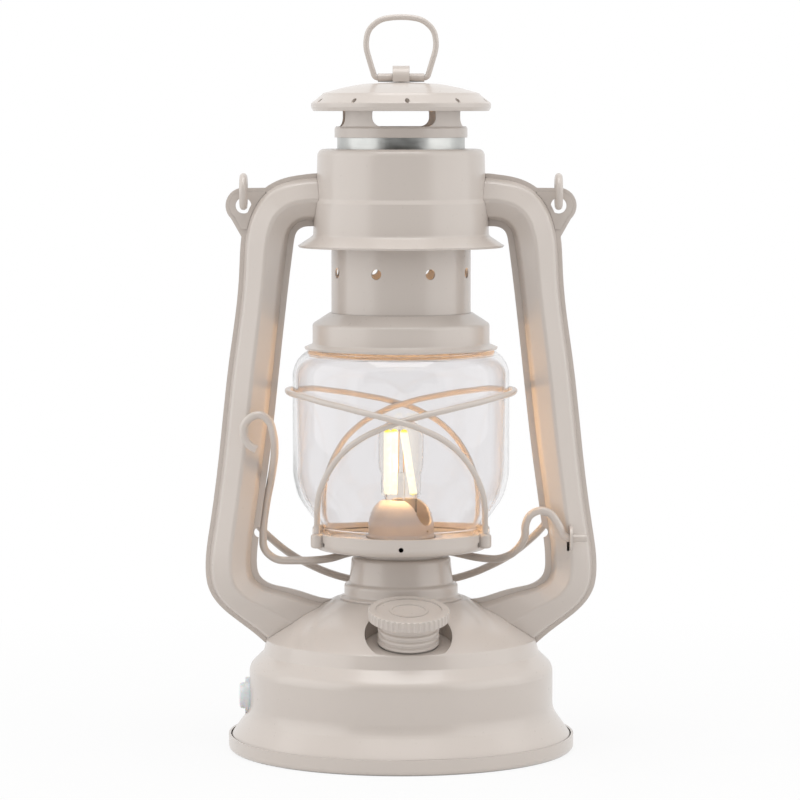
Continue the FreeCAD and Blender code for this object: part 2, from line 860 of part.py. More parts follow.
def glass_globe():
    """Barrel-shaped globe, open at both ends."""
    rise = globe_height
    rise_shares = (0, 0.045, 0.19, 0.30, 0.79, 0.845, 0.885, 0.90, 1)
    levels = [globe_foot + rise * share for share in rise_shares]
    points = [place(globe_foot_radius, levels[0]), place(globe_foot_radius + globe_wall, levels[1]),
              place(globe_radius - globe_wall, levels[2]), place(globe_radius, levels[3]),
              place(globe_radius, levels[4]), place(globe_radius - globe_wall, levels[5]),
              place(globe_neck_radius + 2 * globe_wall, levels[6]), place(globe_neck_radius, levels[7]),
              place(globe_neck_radius, levels[8])]
    bends = [0, globe_wall, rise / 4, rise / 4, rise / 4, rise / 8, rise / 8, globe_wall, 0]
    return sheet(points, bends, globe_wall)


def globe_holder():
    """Stepped ring that sits on the globe and carries the chimney."""
    band_foot = holder_flange + holder_flange_drop
    points = [place(holder_flange_radius, holder_flange), place(holder_band_radius, band_foot),
              place(holder_band_radius, holder_roof),
              place(chimney_radius + sheet_wall, holder_roof + holder_shoulder_rise),
              place(chimney_radius, holder_roof + holder_shoulder_rise)]
    return sheet(points, [0, sheet_wall, 2 * sheet_wall, sheet_wall, 0], sheet_wall)


def chimney_tube():
    """Lower chimney with a ring of vent holes."""
    tube = ring(chimney_radius, chimney_radius - sheet_wall, chimney_foot, chimney_top - chimney_foot)
    tube = tube.fuse(ring(chimney_radius, sleeve_radius, chimney_top, sheet_wall))
    height = holder_roof + holder_shoulder_rise + chimney_hole_rise - sheet_wall
    for index in range(chimney_hole_count):
        way = direction(FULL_TURN / chimney_hole_count * index + chimney_hole_turn)
        tube = tube.cut(tube_between(UP * height, way * (chimney_radius + cut_overrun) + UP * height,
                                     chimney_hole_radius))
    return tube


def zinc_sleeve():
    """Bare zinc tube from the chimney up through the hood into the cap's spider."""
    low = chimney_top + sheet_wall - sleeve_socket
    return ring(sleeve_radius, sleeve_radius - sheet_wall, low, spider_foot + sleeve_socket - low)


def hood_skin():
    """The hood's outer skin from the skirt's lip to the hole for the sleeve."""
    rib = hood_foot + hood_rib_rise
    skirt_top = hood_foot + hood_skirt_rise
    return [place(hood_skirt_radius, hood_foot), place(hood_wall_radius, skirt_top),
            place(hood_wall_radius - hood_rib_step / 2, rib - hood_rib_step),
            place(hood_wall_radius - 3 * hood_rib_step / 2, rib + hood_rib_step),
            place(hood_top_radius, hood_top), place(sleeve_radius + hood_guide_gap, hood_top)]


def hood_bends():
    return [0, 2 * hood_rib_step, hood_rib_step, hood_rib_step, hood_top_corner, 0]


def hood():
    """Outer hood with a flared skirt and a pressed step, open at the top for the sleeve."""
    shell = sheet(hood_skin(), hood_bends(), sheet_wall)
    for index in range(hood_hole_count):
        spot = direction(FULL_TURN / hood_hole_count * index) * hood_hole_reach
        low = spot + UP * (hood_top - cut_overrun)
        shell = shell.cut(Part.makeCylinder(hood_hole_radius, 2 * cut_overrun, low))
    return shell


def hood_envelope():
    """The space inside the hood's outer skin, filled."""
    points = hood_skin() + [place(0, hood_top), place(0, hood_foot)]
    return spin(flat_face(points, hood_bends() + [0, 0]))


def cap_spider():
    """Ring with four legs that carry the cap above the chimney's mouth."""
    ring_top = spider_foot + spider_ring_height
    reach = spider_ring_radius
    points = [place(reach, spider_foot), place(reach, ring_top - sheet_wall),
              place(spider_radius, ring_top), place(spider_radius, cap_top)]
    shell = sheet(points, [0, sheet_wall / 2, sheet_wall / 2, 0], sheet_wall).common(cap_underside())
    spacing = FULL_TURN / spider_leg_count
    half = spider_radius * math.sin(math.radians((spacing - spider_leg_angle) / 2))
    low = ring_top
    high = low + spider_window_height
    corners = [Vec(0, -half, low), Vec(0, half, low), Vec(0, half, high), Vec(0, -half, high)]
    bend = spider_window_corner
    window = flat_face(corners, [bend, bend, bend, bend]).extrude(RIGHT * (2 * spider_radius))
    for index in range(spider_leg_count):
        cutter = window.copy()
        cutter.rotate(Vec(0, 0, 0), UP, spider_turn + index * spacing)
        shell = shell.cut(cutter)
    return shell


def cap_skin():
    """The cap's outer skin from its rim to the top."""
    rim_shares = (0, 0.12, 0.27, 0.53, 0.61, 0.80, 0.93, 1)
    rise = [cap_rim + cap_rise * share for share in rim_shares]
    reach = [cap_radius - sheet_wall, cap_radius, cap_radius, cap_crown_radius + sheet_wall,
             cap_crown_radius, cap_crown_radius * 3 / 4, cap_crown_radius / 2, 0]
    return [place(out, up) for out, up in zip(reach, rise)]


def cap_bends():
    return [0, sheet_wall, sheet_wall, 2 * sheet_wall, sheet_wall / 2, cap_radius, cap_radius, 0]


def cap_underside():
    """The space below the cap's inner skin, down to the spider's foot."""
    points = inset(cap_skin(), sheet_wall)
    points = points + [place(0, spider_foot), place(points[0].x, spider_foot)]
    return spin(flat_face(points, cap_bends() + [0, 0]))


def cap():
    """Shallow cap with a rolled rim, a pressed ring and small vent holes."""
    shell = sheet(cap_skin(), cap_bends(), sheet_wall)
    height = UP * (cap_skin()[2].z + sheet_wall)
    for index in range(cap_hole_count):
        way = direction(FULL_TURN / cap_hole_count * index + cap_hole_turn - QUARTER_TURN)
        outside = way * (cap_radius + cut_overrun) + height
        shell = shell.cut(tube_between(way * cap_crown_radius + height, outside, cap_hole_radius))
    return shell


def hinge_sleeve():
    """Short tube across the top of the cap."""
    half = hinge_sleeve_length / 2
    low = Vec(-half, 0, hinge_height)
    high = Vec(half, 0, hinge_height)
    bore = tube_between(low - RIGHT * cut_overrun, high + RIGHT * cut_overrun, hinge_sleeve_bore)
    return tube_between(low, high, hinge_sleeve_radius).cut(bore)


def hinge_strap():
    """Folded strap over the middle of the sleeve, an arch with two legs on the cap."""
    left = -hinge_strap_width / 2

    def spot(reach, height):
        return Vec(left, reach, height)

    def arch(radius, start_side):
        start = spot(start_side * radius, hinge_height)
        end = spot(-start_side * radius, hinge_height)
        return Part.Arc(start, spot(0, hinge_height + radius), end).toShape()

    outer = hinge_strap_radius
    inner = hinge_sleeve_radius
    corners = [spot(outer, hinge_height), spot(outer, cap_top), spot(inner, cap_top),
               spot(inner, hinge_height)]
    edges = [arch(outer, -1)]
    edges += [Part.LineSegment(first, second).toShape() for first, second in zip(corners, corners[1:])]
    edges.append(arch(inner, 1))
    far = [Vec(point.x, -point.y, point.z) for point in corners[::-1]]
    edges += [Part.LineSegment(first, second).toShape() for first, second in zip(far, far[1:])]
    return Part.Face(Part.Wire(edges)).extrude(RIGHT * hinge_strap_width)


def top_ring():
    """Wire ring whose two ends turn in the sleeve."""
    end = hinge_sleeve_length / 2 - hinge_sleeve_radius
    turn = hinge_sleeve_length / 2 + top_ring_wire / 2
    bow_shares = ((0.86, 0.24), (1.0, 0.52), (0.93, 0.79), (0.60, 0.96), (0.2, 1.0))
    half = [Vec(end, 0, 0), Vec(turn, 0, 0)]
    half += [Vec(top_ring_half_width * across, 0, top_ring_height * up) for across, up in bow_shares]
    route = [point + UP * hinge_height for point in half]
    route += [Vec(-point.x, 0, point.z) for point in route[::-1]]
    return wire_along(route, top_ring_wire - running_gap / 3)


def tube_station(outer_share, outer_rise, inner_share, inner_rise):
    """Outer and inner edge of the right tube at one station."""
    span = tube_top - dome_foot
    outer = place(frame_half_width * outer_share, dome_foot + span * outer_rise)
    inner = place(frame_half_width * inner_share, dome_foot + span * inner_rise)
    return inner, outer


def tube_stations():
    """Edges of the tube from inside the hood, round the shoulder, down and onto the dome."""
    edge_shares = ((0.400, 1.000, 0.400, 0.889), (0.490, 0.999, 0.470, 0.888),
                   (0.600, 0.990, 0.513, 0.883), (0.705, 0.965, 0.534, 0.873),
                   (0.775, 0.922, 0.543, 0.860), (0.808, 0.875, 0.549, 0.842),
                   (0.822, 0.800, 0.562, 0.800), (0.876, 0.600, 0.616, 0.600),
                   (0.928, 0.400, 0.669, 0.400), (0.980, 0.235, 0.723, 0.235),
                   (1.000, 0.150, 0.738, 0.165), (0.983, 0.105, 0.724, 0.135),
                   (0.930, 0.070, 0.672, 0.117), (0.855, 0.042, 0.600, 0.109),
                   (0.755, 0.010, 0.500, 0.098), (0.660, -0.025, 0.380, 0.084),
                   (0.600, -0.048, 0.300, 0.074))
    return [tube_station(*shares) for shares in edge_shares]


def half_shell_section(inner, outer, side):
    """Pressed section across the tube: two seam flanges, steep sides and a soft ridge."""
    across = unit(outer - inner)
    width = (outer - inner).Length
    wall = tube_wall
    slope = tube_side_slope
    low_side = tube_inner_flange
    high_side = width - tube_outer_flange
    skin = [(0, 0), (0, wall), (low_side, wall), (low_side + slope, tube_side_depth),
            (width / 2, tube_depth), (high_side - slope, tube_side_depth), (high_side, wall),
            (width, wall), (width, 0)]
    hollow = [(high_side - wall, 0), (high_side - slope - wall, tube_side_depth - wall / 2),
              (width / 2, tube_depth - wall), (low_side + slope + wall, tube_side_depth - wall / 2),
              (low_side + wall, 0)]
    points = [inner + across * along + BACK * (side * depth) for along, depth in skin + hollow]
    bends = [0, 0, 0, tube_side_bend, tube_ridge_bend, tube_side_bend, 0, 0, 0,
             0, tube_side_bend / 2, tube_ridge_bend, tube_side_bend / 2, 0]
    return Part.Wire(rounded_edges(points, bends, True))


def half_shell(side):
    """One stamped half of the right tube, trimmed to the hood and the tank."""
    sections = [half_shell_section(inner, outer, side) for inner, outer in tube_stations()]
    shell = Part.makeLoft(sections, True, False)
    shell = shell.cut(tank_envelope()).cut(hood_envelope())
    centre = notch_place()
    notch = tube_between(centre - BACK * tube_depth, centre + BACK * tube_depth, notch_radius)
    return shell.cut(notch).fuse(ear_plate(side)).removeSplitter()


def notch_place():
    """Middle of the lever's rest notch on the tube's inner edge."""
    height = gallery_floor + notch_height_above_gallery
    stations = tube_stations()
    for low, high in zip(stations[1:], stations):
        if low[0].z <= height <= high[0].z:
            share = (height - low[0].z) / (high[0].z - low[0].z)
            return low[0] + (high[0] - low[0]) * share
    return stations[0][0]


def ear_plate(side):
    """Half of the ear: a lobe with the bail's hole, blended into the tube's outer seam."""
    centre = place(ear_reach, ear_height)
    low = Vec(0, 0, 0) if side > 0 else BACK * -tube_wall
    lobe = Part.makeCylinder(ear_lobe_radius, tube_wall, centre + low, BACK)
    root = place(ear_reach - ear_lobe_radius - tube_depth / 2, ear_height)
    foot = centre - UP * ear_blend_length
    lobe_shares = ((0.1, 0.98), (0.75, -0.62))
    around = [centre + place(across, up) * ear_lobe_radius for across, up in lobe_shares]
    outline = [root + UP * ear_lobe_radius] + around
    outline += [foot + RIGHT * tube_wall, foot - RIGHT * (ear_lobe_radius / 2),
                root + UP * (ear_lobe_radius / 2)]
    web = flat_face(outline, [0, tube_wall, tube_side_bend, 0, 0, 0]).extrude(BACK * tube_wall)
    web.translate(low)
    hole = Part.makeCylinder(ear_hole_radius, 2 * tube_depth, centre - BACK * tube_depth, BACK)
    return lobe.fuse(web).cut(hole)


def lever_lug():
    """Half-round lug pressed out of the right front shell, bored for the lever's end."""
    centre = lever_axis()
    low = centre - RIGHT * (lever_lug_thickness / 2)
    disc = Part.makeCylinder(lever_lug_radius, lever_lug_thickness, low, RIGHT)
    root = Part.makeBox(lever_lug_thickness, lever_axis_front - tube_depth + 2 * tube_wall,
                        2 * lever_lug_radius, low - UP * lever_lug_radius)
    behind = Part.makeBox(4 * lever_lug_radius, tube_depth, 4 * lever_lug_radius,
                          Vec(centre.x - 2 * lever_lug_radius, 2 * tube_wall - tube_depth,
                              centre.z - 2 * lever_lug_radius))
    return disc.fuse(root).cut(behind)


def lever_slit():
    """Slot in the front shell beside the lug, left where the lug was pressed out."""
    centre = lever_axis()
    return Part.makeBox(lever_slit_width, tube_depth, lever_lug_radius,
                        Vec(centre.x - lever_lug_thickness / 2 - lever_slit_width, centre.y,
                            centre.z - lever_slit_drop - lever_lug_radius / 2))


def lever_bore():
    centre = lever_axis()
    reach = RIGHT * (lever_lug_thickness + cut_overrun)
    return tube_between(centre - reach, centre + reach, lever_wire / 2 + lever_bore_gap)


def lever_axis():
    return Vec(lever_axis_reach, -lever_axis_front, lever_axis_height)


def lever_reach(share):
    """Sideways place on the lever: 0 is just outside the globe, 1 is the frame's half width."""
    near = globe_radius + lever_wire
    return near + (frame_half_width - near) * share


def lift_lever():
    """One bent wire: pivot at the right, hump under the gallery, crooked handle at the left."""
    wire = lever_wire
    pivot = lever_axis()
    drop = lever_axis_height - lever_level
    under = gallery_floor - running_gap - wire / 2
    front = -pivot.y
    right_shares = ((0.577, 1.0, 0.0), (0.509, 1.0, 0.50), (0.410, 0.92, 0.93), (0.280, 0.88, 1.06),
                    (0.145, 0.82, 0.86), (0.091, 0.64, 0.44), (0.101, 0.42, -0.02), (0.032, 0.15, -0.43),
                    (-0.066, -0.15, -0.76), (-0.229, -0.55, -1.0), (-0.489, -1.0, -1.0))
    route = [pivot + RIGHT * (2 * wire)]
    for across, forward, rise in right_shares:
        route.append(Vec(lever_reach(across), -front * forward, lever_axis_height + drop * rise))
    loop = cone_foot_radius + wire / 2 + lever_loop_gap
    loop_shares = ((0.80, 0.85), (0, 1.06), (-0.80, 0.85))
    for across, back in loop_shares:
        height = under if across == 0 else (under + lever_level) / 2
        route.append(Vec(loop * across, loop * back, height))
    left_shares = ((-0.499, 0.25, 0.0), (0.115, 0.25, 0.0), (0.283, 0.25, 0.42), (0.278, 0.25, 1.36),
                   (0.228, 0.25, 2.35), (0.184, 0.13, 2.95), (0.145, -0.35, 3.55), (0.118, -0.75, 4.1),
                   (0.115, -1.2, 4.70), (0.164, -1.26, 5.36), (0.276, -1.26, 5.65), (0.398, -1.26, 5.57),
                   (0.499, -1.26, 5.26), (0.499, -1.26, 4.80), (0.425, -1.26, 4.48), (0.337, -1.26, 4.34))
    for across, back, rise in left_shares:
        route.append(Vec(-lever_reach(across), front * back, lever_level + drop * rise))
    return wire_along(route, wire)


def guard_reach():
    return globe_radius + guard_gap + guard_wire / 2


def guard_spots():
    """Angle from the tip, share of the rise, share of the crossing lift and share of the way to the lug."""
    turn_shares = ((0, 1.0, 0, 0), (34, 0.985, 0, 0), (60, 0.935, 0.2, 0), (80, 0.880, 1, 0),
                   (96, 0.815, 1, 0), (110, 0.725, 0.3, 0), (121, 0.610, 0, 0), (129, 0.475, 0, 0),
                   (135, 0.330, 0, 0.02), (141, 0.200, 0, 0.35))
    spots = [turn_shares[0]]
    for first, second in zip(turn_shares, turn_shares[1:]):
        steps = math.ceil((second[0] - first[0]) / guard_step)
        for step in range(1, steps + 1):
            spots.append([a + (b - a) * step / steps for a, b in zip(first, second)])
    return spots


def guard_wire_loop(side, lift):
    """One guard wire: an arch round the globe from lug to lug. The left one passes outside."""
    half = []
    foot = lug_reach()
    bulge = 1 / math.cos(math.radians(guard_step / 2))
    for angle, height, over, inward in guard_spots():
        reach = guard_reach() * bulge + lift * over + (foot - guard_reach()) * inward
        half.append(direction(angle) * reach + UP * (gallery_rim + guard_rise * height))
    lug = HALF_TURN - lug_angle
    half.append(direction(lug) * foot + UP * (gallery_rim + guard_foot_rise))
    half.append(direction(lug) * foot + UP * (lug_low + sheet_wall))
    front = [Vec(point.x, -point.y, point.z) for point in half[1:]]
    route = front[::-1] + half
    loop = wire_along(route, guard_wire)
    return mirrored(loop) if side < 0 else loop


def bail_eye_route():
    """Route round the right eye, from its open tip over the front and the top to the shank."""
    corner_count = 8
    step = FULL_TURN / corner_count
    route = [bail_eye_spot(0, FULL_TURN - bail_eye_opening, 1)]
    corner_share = 1 / math.cos(math.radians(step / 2))
    for index in range(corner_count - 1):
        route.append(bail_eye_spot(0, FULL_TURN - step * (index + 3 / 2), corner_share))
    shank_shares = ((0, 1.05, -0.16), (-0.39, 1.43, -0.28), (-0.9, 1.9, -0.1))
    for across, back, up in shank_shares:
        route.append(Vec(ear_reach, 0, bail_axis) + Vec(across, back, up) * bail_eye_radius)
    return route


def bail_eye_spot(across, angle, share):
    """A point of the right eye, turned from the back over the top."""
    turned = Vec(across, math.cos(math.radians(angle)), math.sin(math.radians(angle)))
    return Vec(ear_reach, 0, bail_axis) + turned * (bail_eye_radius * share)


def bail():
    """Carrying bail: one wire with an eye in each ear and a bow that hangs behind the lantern."""
    dome_share = (bail_rest_reach - dome_top_radius) / (dome_foot_radius - dome_top_radius)
    low = dome_top - dome_rise * dome_share + dome_bulge + bail_rest_gap + bail_wire / 2
    drop = bail_axis - low
    behind = tube_depth + bail_wire / 2 + running_gap
    wide = ear_reach + bail_spread
    half = bail_eye_route()
    bow_shares = ((0.83, 0.09, 1.0), (0.86, 0.28, 1.0), (0.93, 0.50, 1.0), (0.985, 0.66, 1.02),
                  (0.97, 0.77, 1.08), (0.875, 0.845, 1.3), (0.68, 0.92, 1.7), (0.42, 0.975, 2.1))
    for across, down, back in bow_shares:
        half.append(Vec(wide * across, behind * back, bail_axis - drop * down))
    half.append(Vec(bail_rest_reach / 3, bail_rest_reach, low))
    return wire_along(half + [Vec(-point.x, point.y, point.z) for point in half[::-1]], bail_wire)


def build():
    right_front = half_shell(-1)
    right_rear = half_shell(1)
    left_front = mirrored(right_front)
    left_rear = mirrored(right_rear)
    right_front = right_front.fuse(lever_lug()).cut(lever_bore()).cut(lever_slit())
    return {
        "base_plate": drilled_base_plate(),
        "base_screws": base_screws(),
        "tank_shell": tank_shell(),
        "battery_cradle": battery_cradle(),
        "battery_cells": battery_cells(),
        "circuit_board": circuit_board(),
        "usb_socket": usb_socket(),
        "port_grommet": port_grommet(),
        "port_plug": port_plug(),
        "dimmer_neck": dimmer_neck(),
        "dimmer_body": dimmer_body(),
        "dimmer_shaft": dimmer_shaft(),
        "dimmer_knob": dimmer_knob(),
        "burner_cone": burner_cone(),
        "burner_dome": burner_dome(),
        "bulb_socket": bulb_socket(),
        "led_bulb": led_bulb(),
        "bulb_stem": bulb_stem(),
        "led_filaments": led_filaments(),
        "gallery": gallery(),
        "globe_plate": globe_plate(),
        "glass_globe": glass_globe(),
        "guard_wire_right": guard_wire_loop(1, 0),
        "guard_wire_left": guard_wire_loop(-1, guard_wire + 2 * running_gap / 3),
        "globe_holder": globe_holder(),
        "chimney_tube": chimney_tube(),
        "zinc_sleeve": zinc_sleeve(),
        "hood": hood(),
        "cap_spider": cap_spider(),
        "cap": cap(),
        "hinge_strap": hinge_strap(),
        "hinge_sleeve": hinge_sleeve(),
        "top_ring": top_ring(),
        "right_tube_front": right_front,
        "right_tube_rear": right_rear,
        "left_tube_front": left_front,
        "left_tube_rear": left_rear,
        "lift_lever": lift_lever(),
        "bail": bail(),
    }


os.makedirs("parts", exist_ok=True)
for node, shape in build().items():
    print(node, "valid", shape.isValid(), "solids", len(shape.Solids), "volume", round(shape.Volume, 1))
    shape.exportStep("parts/" + node + ".step")
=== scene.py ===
import json
import math

import bmesh
import bpy
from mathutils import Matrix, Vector
from mathutils.bvhtree import BVHTree

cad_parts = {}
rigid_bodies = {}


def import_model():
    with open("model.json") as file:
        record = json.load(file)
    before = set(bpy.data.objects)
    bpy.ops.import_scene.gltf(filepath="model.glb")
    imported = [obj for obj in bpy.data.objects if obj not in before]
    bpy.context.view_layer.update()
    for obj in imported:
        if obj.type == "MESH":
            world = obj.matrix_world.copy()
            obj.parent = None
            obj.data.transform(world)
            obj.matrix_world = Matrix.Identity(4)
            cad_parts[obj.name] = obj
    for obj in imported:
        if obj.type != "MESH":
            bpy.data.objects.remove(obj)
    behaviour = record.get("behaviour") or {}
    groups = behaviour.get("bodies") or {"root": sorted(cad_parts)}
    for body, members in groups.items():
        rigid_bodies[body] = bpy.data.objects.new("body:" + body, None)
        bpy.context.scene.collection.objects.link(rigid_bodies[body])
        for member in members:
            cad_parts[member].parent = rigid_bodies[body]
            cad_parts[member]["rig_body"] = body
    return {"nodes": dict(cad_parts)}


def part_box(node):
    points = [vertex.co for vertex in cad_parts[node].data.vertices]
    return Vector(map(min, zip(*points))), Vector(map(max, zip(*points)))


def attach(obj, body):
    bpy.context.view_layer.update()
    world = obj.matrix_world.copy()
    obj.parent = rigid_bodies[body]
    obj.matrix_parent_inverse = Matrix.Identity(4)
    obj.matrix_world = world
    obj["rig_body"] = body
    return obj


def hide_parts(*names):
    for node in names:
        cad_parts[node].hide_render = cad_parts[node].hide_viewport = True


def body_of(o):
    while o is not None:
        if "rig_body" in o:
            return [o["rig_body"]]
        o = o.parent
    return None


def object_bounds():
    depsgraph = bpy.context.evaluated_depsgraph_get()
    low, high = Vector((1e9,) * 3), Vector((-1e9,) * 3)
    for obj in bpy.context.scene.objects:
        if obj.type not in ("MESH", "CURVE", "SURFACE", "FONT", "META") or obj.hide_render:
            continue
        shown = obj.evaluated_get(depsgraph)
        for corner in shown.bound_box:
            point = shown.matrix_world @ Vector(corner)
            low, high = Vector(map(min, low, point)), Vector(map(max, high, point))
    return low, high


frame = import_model()
cad_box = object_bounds()

# Camera, as fitted to the ellipses of the base, the gallery and the hood
PHOTO_SIDE = 800
FOCAL_PIXELS = 3737
SENSOR_WIDTH = 36
CAMERA_PLACE = (-0.0004, -1.420, 0.242)
CAMERA_PITCH = math.radians(4.37)

# Light: even surroundings, a dark card in front and soft boxes at the sides and above
WORLD_LIGHT = 0.59
CARD_REACH = 1.9
CARD_HALF_WIDTH = 1.55
CARD_HEIGHT = 1.9
CARD_TONE = 0.08
SIDE_BOX_PLACE = (1.15, -0.30, 0.42)
SIDE_BOX_SIZE = (1.4, 1.2)
LEFT_POWER = 4.8
RIGHT_POWER = 4.0
TOP_BOX_PLACE = (0.0, -0.22, 1.35)
TOP_BOX_SIZE = (0.9, 0.8)
TOP_POWER = 6.8
BULB_LAMP_POWER = 0.085
BULB_LAMP_RADIUS = 0.004

# Floor: white away from the lantern's shadow
FLOOR_HALF = 3.0
FLOOR_TONE = 0.82
FLOOR_SHADE_NEAR = 0.08
FLOOR_SHADE_FAR = 0.40
FLOOR_GLOW_SHARE = 0.88

# Pieces that are made here: lengths in metres, and counts
FLANGE_LEVEL = -0.0007
FLANGE_LEVEL_SLACK = 0.0001
FLANGE_JOIN = 0.00001
FLANGE_FACING = -0.999
EAR_STEP = 0.0003
EAR_INSET = 0.0014
EAR_STEP_FOOT = 0.1985
EAR_STEP_START = 0.0515
FLANGE_HOLE_LOOP = 0.030
FLANGE_PROBE = 0.00015
FILAMENT_RADIUS = 0.00145
FILAMENT_SIDES = 20
FILAMENT_END_STEPS = 5
LEAD_RADIUS = 0.00018
LEAD_SIDES = 8
FILAMENT_HEAD_RISE = 0.0012
LEFT_FOOT_X, LEFT_HEAD_X = -0.0053, -0.0051
REAR_FOOT_X, REAR_HEAD_X, REAR_Y = -0.0027, -0.0026, 0.0022
RIGHT_FOOT_X, RIGHT_HEAD_X = 0.0049, 0.0009
LEAD_FOOT_X, LEAD_HEAD_X = 0.0012, 0.0007
BULB_RADIUS = 0.0086
BULB_WAIST_RADIUS = 0.0076
BULB_NECK_RADIUS = 0.0062
BULB_WALL = 0.0005
BULB_CROWN = 0.0065
BULB_SHOULDER_Z, BULB_WAIST_Z, BULB_THROAT_Z = 0.1075, 0.1050, 0.0974
BULB_STEPS = 8
BULB_SIDES = 64

# Finishes: how far the painted shade reaches into a joint, and how round a sheet's edge is
PAINTED_SHADE_REACH = 0.0009
EDGE_ROUND = 0.0003

# Colours, linear
PAINT_COLOUR = (0.640, 0.576, 0.526)
PAINT_DEEP = (0.612, 0.549, 0.500)
# Painted shade: the dark colour laid into tight joints and creases where ambient occlusion is high
PAINTED_SHADE_COLOUR = (0.11, 0.095, 0.082)
ZINC_COLOUR = (0.60, 0.60, 0.58)
ZINC_DEEP = (0.40, 0.41, 0.40)
STEEL_COLOUR = (0.62, 0.61, 0.59)
COPPER_COLOUR = (0.80, 0.50, 0.22)
GLASS_COLOUR = (0.884, 0.874, 0.880)
BULB_COLOUR = (0.99, 0.975, 0.95)
PLUG_COLOUR = (0.80, 0.82, 0.84)
BLACK_COLOUR = (0.025, 0.025, 0.027)
WHITE_COLOUR = (0.78, 0.78, 0.76)
WRAP_COLOUR = (0.045, 0.16, 0.34)
BOARD_COLOUR = (0.018, 0.12, 0.05)
BOARD_DEEP = (0.022, 0.15, 0.06)
BOARD_RUN_COLOUR = (0.06, 0.26, 0.10)
PHOSPHOR_COLOUR = (0.030, 0.022, 0.010)
CORE_COLOUR = (1.0, 0.93, 0.72)
TIP_COLOUR = (1.0, 0.78, 0.04)
LAMP_COLOUR = (1.0, 0.62, 0.28)

# Which pieces have which finish
PAINTED = [
    "base_plate", "tank_shell", "dimmer_neck", "dimmer_knob", "burner_cone", "burner_dome",
    "gallery", "globe_plate", "guard_wire_right", "guard_wire_left", "globe_holder",
    "chimney_tube", "hood", "cap_spider", "cap", "hinge_strap", "hinge_sleeve", "top_ring",
    "right_tube_front", "right_tube_rear", "left_tube_front", "left_tube_rear",
    "lift_lever", "bail",
]
FINISHES = {
    "zinc": ["zinc_sleeve"],
    "steel": ["base_screws", "usb_socket", "dimmer_shaft"],
    "globe_glass": ["glass_globe"],
    "bulb_glass": ["led_bulb", "bulb_stem"],
    "filament": ["led_filaments"],
    "plug": ["port_plug", "port_grommet"],
    "black_plastic": ["dimmer_body", "battery_cradle"],
    "white_plastic": ["bulb_socket"],
    "cell_wrap": ["battery_cells"],
    "board": ["circuit_board"],
}


def opaque(colour):
    """A colour with full alpha; a socket stays as it is."""
    return colour if isinstance(colour, bpy.types.NodeSocket) else (*colour, 1)


class Shader:
    """The node tree of a material or a world, with its nodes made in one line each."""

    # Sockets of a mix node that blends two colours
    MIX_FIRST = 6
    MIX_SECOND = 7
    MIX_RESULT = 2

    def __init__(self, name, kind=bpy.data.materials):
        self.owner = kind.new(name)
        self.owner.use_nodes = True
        self.tree = self.owner.node_tree
        self.tree.nodes.clear()

    def feed(self, socket, value):
        """Links a socket to the one that feeds it, or sets it to a value."""
        if isinstance(value, bpy.types.NodeSocket):
            self.tree.links.new(value, socket)
        else:
            socket.default_value = value

    def node(self, kind, settings=None, **inputs):
        """A node with its settings; inputs are values or the sockets that feed them."""
        made = self.tree.nodes.new("ShaderNode" + kind)
        for name, value in (settings or {}).items():
            setattr(made, name, value)
        for name, value in inputs.items():
            self.feed(made.inputs[name.replace("_", " ")], value)
        return made

    def place(self):
        """Where a point lies on its piece, so that a pattern moves with it."""
        return self.node("TexCoord").outputs["Object"]

    def noise(self, scale, detail, vector=None):
        """Soft noise with this many patches to the metre."""
        where = vector or self.place()
        return self.node("TexNoise", Vector=where, Scale=scale, Detail=detail).outputs["Fac"]

    def between(self, factor, low, high, start=0.0, end=1.0):
        """A number that runs from low to high as the factor runs from start to end."""
        made = self.node("MapRange", Value=factor)
        made.inputs["From Min"].default_value = start
        made.inputs["From Max"].default_value = end
        made.inputs["To Min"].default_value = low
        made.inputs["To Max"].default_value = high
        return made.outputs["Result"]

    def blend(self, factor, first, second):
        """A colour between two others, each a colour or a socket."""
        made = self.node("Mix", {"data_type": "RGBA"}, Factor=factor)
        self.feed(made.inputs[self.MIX_FIRST], opaque(first))
        self.feed(made.inputs[self.MIX_SECOND], opaque(second))
        return made.outputs[self.MIX_RESULT]

    def math(self, operation, first, second):
        """The result of an operation on two numbers or sockets."""
        made = self.node("Math", {"operation": operation})
        self.feed(made.inputs[0], first)
        self.feed(made.inputs[1], second)
        return made.outputs["Value"]

    def bump(self, height, distance, strength, normal=None):
        """Relief of a real depth in metres."""
        made = self.node("Bump", Height=height, Distance=distance, Strength=strength)
        if normal is not None:
            self.tree.links.new(normal, made.inputs["Normal"])
        return made.outputs["Normal"]

    def mixed(self, share, first, second):
        """Two surfaces mixed by a share."""
        made = self.node("MixShader", Fac=share)
        self.tree.links.new(first, made.inputs[1])
        self.tree.links.new(second, made.inputs[2])
        return made.outputs["Shader"]

    def seen(self):
        """1 for the camera and for what metal and glass show, 0 for light."""
        path = self.node("LightPath")
        shown = self.math("MAXIMUM", path.outputs["Is Camera Ray"], path.outputs["Is Glossy Ray"])
        return self.math("MAXIMUM", shown, path.outputs["Is Transmission Ray"])

    def finish(self, surface, output="OutputMaterial"):
        """Joins the surface to the output and gives the material or the world."""
        self.node(output, Surface=surface)
        return self.owner


